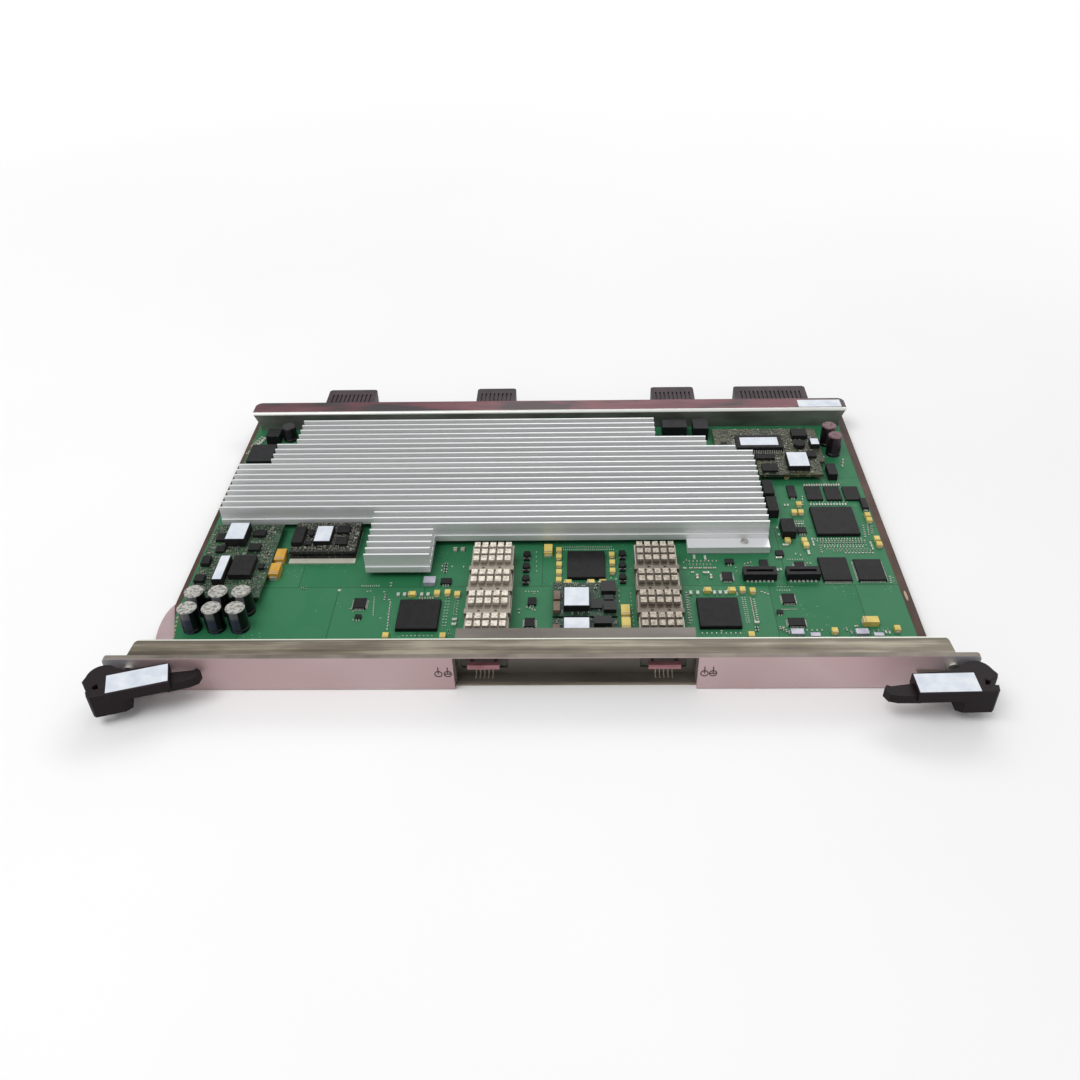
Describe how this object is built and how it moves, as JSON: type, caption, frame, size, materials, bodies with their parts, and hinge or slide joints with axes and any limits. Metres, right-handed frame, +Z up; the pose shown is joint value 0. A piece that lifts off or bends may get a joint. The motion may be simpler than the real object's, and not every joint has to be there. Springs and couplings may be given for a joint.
{
  "type": "ethernet interface board",
  "caption": "Plug-in line card: populated board with a finned heat sink, recessed network ports in a long front panel, ejector levers and rear connectors.",
  "frame": {"origin": "bench level under the middle of the card: the panel's lower edge in Z, the middle of its length in X, half the card's depth in Y", "axes": "+X along the front panel to the right seen from the ports' side, +Y from the panel to the backplane connectors, +Z up from the component side"},
  "size_m": [0.4038, 0.2693, 0.0202],
  "materials": {
    "circuit_laminate": "solder mask, semi-gloss",
    "module_laminate": "dark solder mask",
    "panel_satin": "satin anodised",
    "sheet_metal": "passivated sheet",
    "stiffener_coat": "dark satin coat",
    "light_pipe": "clear moulding",
    "spring_metal": "bright spring sheet",
    "cage_metal": "tinned sheet",
    "cover_metal": "bright plated",
    "pin_sink_metal": "clear anodised",
    "heat_sink_metal": "satin",
    "screw_metal": "zinc plated",
    "dark_plastic": "moulded",
    "chip_plastic": "moulded package",
    "pad_rubber": "soft pad",
    "connector_plastic": "moulded",
    "lever_plastic": "fine grained",
    "label_film": "bare film",
    "capacitor_can": "drawn can, dark top",
    "tantalum_yellow": "moulded case",
    "ferrite": "ferrite",
    "white_plastic": "moulded"
  },
  "bodies": {
    "card": {"main_board": "circuit_laminate", "corner_ear": "panel_satin", "left_module_board": "module_laminate", "right_module_board": "module_laminate", "middle_module_board": "module_laminate", "brick_boards": "module_laminate", "front_panel": "panel_satin", "panel_shield": "sheet_metal", "port_tray": "sheet_metal", "board_brackets": "sheet_metal", "rear_stiffener": "stiffener_coat", "light_pipes": "light_pipe", "port_fingers": "spring_metal", "left_port_cage": "cage_metal", "right_port_cage": "cage_metal", "left_port_cover": "cover_metal", "right_port_cover": "cover_metal", "edge_connectors": "dark_plastic", "left_port_heat_sink": "pin_sink_metal", "right_port_heat_sink": "pin_sink_metal", "left_port_clip": "spring_metal", "right_port_clip": "spring_metal", "heat_sink": "heat_sink_metal", "heat_sink_screws": "screw_metal", "heat_sink_foot_screw": "screw_metal", "stiffener_screws": "screw_metal", "covered_chips": "chip_plastic", "thermal_pads": "pad_rubber", "first_backplane_connector": "connector_plastic", "second_backplane_connector": "connector_plastic", "third_backplane_connector": "connector_plastic", "fourth_backplane_connector": "connector_plastic", "left_lever_bracket": "sheet_metal", "right_lever_bracket": "sheet_metal", "board_labels": "label_film", "bulk_capacitors": "capacitor_can", "rear_capacitors": "capacitor_can", "tantalum_capacitors": "tantalum_yellow", "framer_chips": "chip_plastic", "centre_chip": "chip_plastic", "control_processor": "chip_plastic", "flash_chips": "chip_plastic", "memory_chips": "chip_plastic", "small_chips": "chip_plastic", "board_sockets": "dark_plastic", "power_inductors": "ferrite", "filter_inductors": "ferrite", "crystal_cans": "cage_metal", "left_module_cores": "ferrite", "right_module_cores": "ferrite", "middle_module_cores": "ferrite", "brick_cores": "ferrite", "brick_pad": "white_plastic", "rear_blocks": "dark_plastic"},
    "left_lever": {"left_lever": "lever_plastic", "left_lever_label": "label_film"},
    "right_lever": {"right_lever": "lever_plastic", "right_lever_label": "label_film"},
    "left_captive_screw": {"left_captive_screw": "screw_metal"},
    "right_captive_screw": {"right_captive_screw": "screw_metal"}
  },
  "joints": [
    {"name": "left_lever_hinge", "type": "hinge", "parent": "card", "child": "left_lever", "pos_m": [-0.1907, -0.1242, 0.0125], "axis": [0, 0, 1], "range_deg": [-35, 0]},
    {"name": "right_lever_hinge", "type": "hinge", "parent": "card", "child": "right_lever", "pos_m": [0.1907, -0.1242, 0.0125], "axis": [0, 0, 1], "range_deg": [-17.5, 18]},
    {"name": "left_screw_turn", "type": "hinge", "parent": "card", "child": "left_captive_screw", "pos_m": [-0.185, -0.1118, 0.0153], "axis": [0, 1, 0], "continuous": true},
    {"name": "right_screw_turn", "type": "hinge", "parent": "card", "child": "right_captive_screw", "pos_m": [0.185, -0.1118, 0.0153], "axis": [0, 1, 0], "continuous": true}
  ]
}
